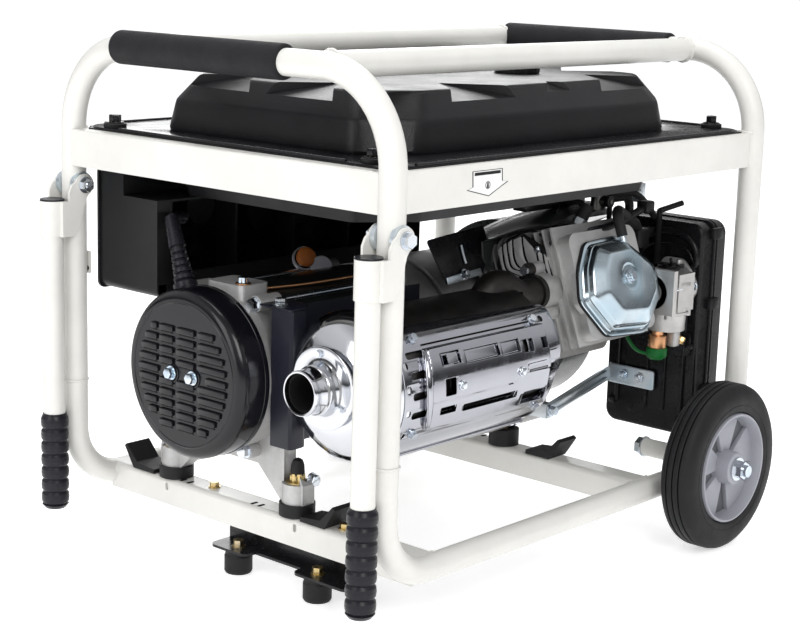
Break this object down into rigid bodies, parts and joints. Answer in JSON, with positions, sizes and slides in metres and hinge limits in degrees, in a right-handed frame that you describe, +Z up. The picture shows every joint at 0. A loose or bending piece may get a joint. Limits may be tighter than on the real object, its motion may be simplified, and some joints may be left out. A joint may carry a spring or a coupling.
{
  "type": "portable generator",
  "caption": "Open-frame portable generator: tube frame with wheels and folding lift handles, top fuel tank, single-cylinder engine, alternator, shielded muffler and outlet panel.",
  "frame": {"origin": "on the floor under the centre of the whole object's box", "axes": "+X along the frame from the lift handles to the wheels, +Y from the muffler side to the panel side, +Z up"},
  "size_m": [0.7205, 0.666, 0.6025],
  "materials": {
    "cream_paint": "satin",
    "black_paint": "satin",
    "black_plastic": "matte",
    "rubber": "matte",
    "tyre_rubber": "matte",
    "hub_grey": "satin",
    "zinc": "satin",
    "bolt_gold": "satin",
    "cast_aluminium": "rough cast",
    "chrome_steel": "polished",
    "dark_steel": "satin",
    "laminations": "satin",
    "element_foam": "matte",
    "copper_red": "satin"
  },
  "bodies": {
    "frame": {"air_cleaner_case": "black_plastic", "air_cleaner_cover": "black_plastic", "air_cleaner_strut": "zinc", "air_filter_element": "element_foam", "alternator_adapter": "cast_aluminium", "alternator_end_bracket": "cast_aluminium", "alternator_end_cover": "black_plastic", "bottom_rails": "cream_paint", "carburettor": "cast_aluminium", "crankcase": "cast_aluminium", "crossbar_grips": "rubber", "cylinder_head": "cast_aluminium", "end_hoops": "cream_paint", "engine_hoses": "rubber", "engine_shroud": "black_paint", "exhaust_elbow": "dark_steel", "fan_housing": "black_paint", "foot_bracket": "black_paint", "frame_fasteners": "bolt_gold", "fuel_cut_solenoid": "bolt_gold", "handle_washers": "zinc", "heat_shield": "chrome_steel", "machine_bolts": "zinc", "mount_crossbars": "cream_paint", "muffler": "chrome_steel", "output_lead": "rubber", "panel_box": "black_plastic", "panel_face": "black_paint", "panel_fittings": "black_plastic", "petcock": "dark_steel", "pivot_bolts": "zinc", "rear_bearing": "dark_steel", "recoil_cover": "black_paint", "rocker_cover": "zinc", "rubber_feet": "rubber", "rubber_mounts": "rubber", "spark_plug": "zinc", "stator": "laminations", "tank_lower_shell": "black_paint", "tank_rails": "cream_paint", "tank_upper_shell": "black_paint", "top_tubes": "cream_paint"},
    "handle_near": {"handle_near": "cream_paint", "handle_rubbers_near": "rubber"},
    "handle_far": {"handle_far": "cream_paint", "handle_rubbers_far": "rubber"},
    "wheel_near": {"wheel_hub_near": "hub_grey", "wheel_tyre_near": "tyre_rubber"},
    "wheel_far": {"wheel_hub_far": "hub_grey", "wheel_tyre_far": "tyre_rubber"},
    "crank": {"crankshaft": "dark_steel", "rotor": "laminations", "flywheel": "cast_aluminium"},
    "pull_grip": {"recoil_grip": "black_plastic"},
    "cap": {"fuel_cap": "black_plastic"},
    "fuel_tap": {"petcock_lever": "black_plastic"},
    "choke": {"choke_lever": "black_plastic"},
    "switch_rocker": {"engine_switch": "black_plastic"},
    "breaker": {"breaker_button": "copper_red"},
    "oil_plug": {"oil_filler_plug": "black_plastic"}
  },
  "joints": [
    {"name": "near_handle_swing", "type": "hinge", "parent": "frame", "child": "handle_near", "pos_m": [-0.311, -0.2425, 0.426], "axis": [0, 1, 0], "range_deg": [0, 90]},
    {"name": "far_handle_swing", "type": "hinge", "parent": "frame", "child": "handle_far", "pos_m": [-0.311, 0.2425, 0.426], "axis": [0, 1, 0], "range_deg": [0, 90]},
    {"name": "near_wheel_spin", "type": "hinge", "parent": "frame", "child": "wheel_near", "pos_m": [0.234, -0.291, 0.101], "axis": [0, 1, 0], "continuous": true},
    {"name": "far_wheel_spin", "type": "hinge", "parent": "frame", "child": "wheel_far", "pos_m": [0.234, 0.291, 0.101], "axis": [0, 1, 0], "continuous": true},
    {"name": "crank_spin", "type": "hinge", "parent": "frame", "child": "crank", "pos_m": [-0.011, 0.0435, 0.24], "axis": [1, 0, 0], "continuous": true},
    {"name": "starter_pull", "type": "slide", "parent": "frame", "child": "pull_grip", "axis": [0, 1, 0], "range_m": [0, 0.13]},
    {"name": "fuel_cap_turn", "type": "hinge", "parent": "frame", "child": "cap", "pos_m": [0.129, -0.0425, 0.559], "axis": [0, 0, 1], "range_deg": [0, 90]},
    {"name": "fuel_tap_turn", "type": "hinge", "parent": "frame", "child": "fuel_tap", "pos_m": [0.194, -0.1405, 0.405], "axis": [0, 1, 0], "range_deg": [0, 90]},
    {"name": "choke_turn", "type": "hinge", "parent": "frame", "child": "choke", "pos_m": [0.277, -0.1905, 0.325], "axis": [0, 0, 1], "range_deg": [0, 60]},
    {"name": "engine_switch_rock", "type": "hinge", "parent": "frame", "child": "switch_rocker", "pos_m": [-0.221, 0.228, 0.391], "axis": [1, 0, 0], "range_deg": [0, 18]},
    {"name": "breaker_press", "type": "slide", "parent": "frame", "child": "breaker", "axis": [0, -1, 0], "range_m": [0, 0.003], "stiffness_N_per_m": 300},
    {"name": "oil_plug_turn", "type": "hinge", "parent": "frame", "child": "oil_plug", "pos_m": [0.084, -0.0445, 0.171], "axis": [0, -0.9439, 0.3304], "range_deg": [0, 360]}
  ]
}
